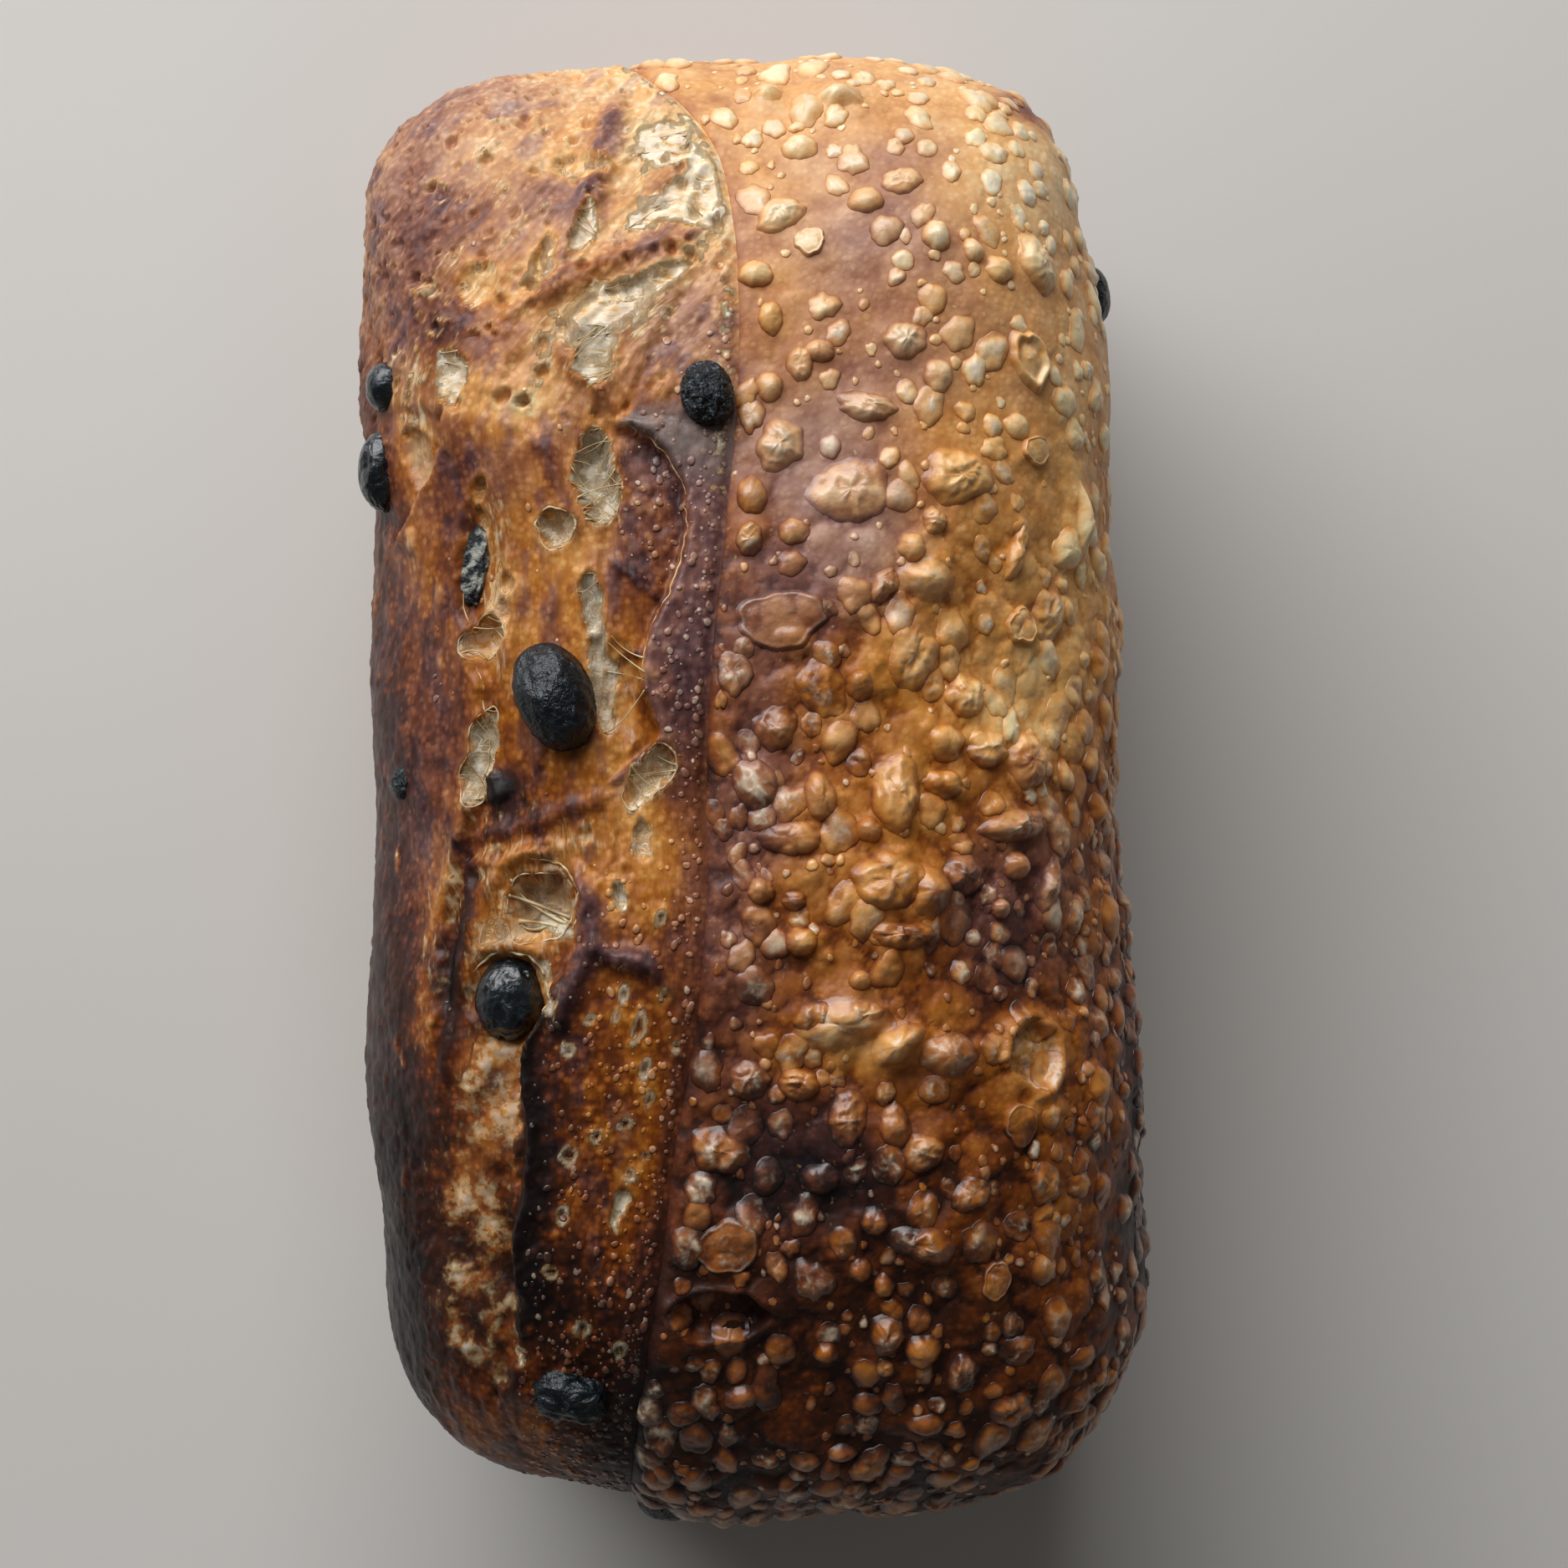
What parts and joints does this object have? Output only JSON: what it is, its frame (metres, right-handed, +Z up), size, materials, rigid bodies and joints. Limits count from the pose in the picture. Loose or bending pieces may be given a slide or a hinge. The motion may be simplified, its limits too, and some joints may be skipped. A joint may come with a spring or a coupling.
{
  "type": "sourdough loaf",
  "caption": "Oblong tin-baked sourdough loaf with a domed, blistered crust, torn open along one side, and whole black olives showing in the crust.",
  "frame": {"origin": "on the flat base, under the middle of the loaf's overall box", "axes": "+Z up; +Y along the loaf's long side, towards the end with the pale, sparse blisters; +X towards the blistered side, so the torn side is at -X"},
  "size_m": [0.124, 0.233, 0.1081],
  "materials": {
    "crust": "baked bread crust, blistered and lightly glossy",
    "olive_skin": "wrinkled, oily black olive skin"
  },
  "bodies": {
    "root": {"loaf": "crust", "olive_by_score": "olive_skin", "olive_floured": "olive_skin", "olive_in_hollow": "olive_skin", "olive_large": "olive_skin", "olive_left_far": "olive_skin", "olive_left_mid": "olive_skin", "olive_left_small": "olive_skin", "olive_near_end": "olive_skin", "olive_near_left": "olive_skin", "olive_right": "olive_skin"}
  },
  "joints": []
}
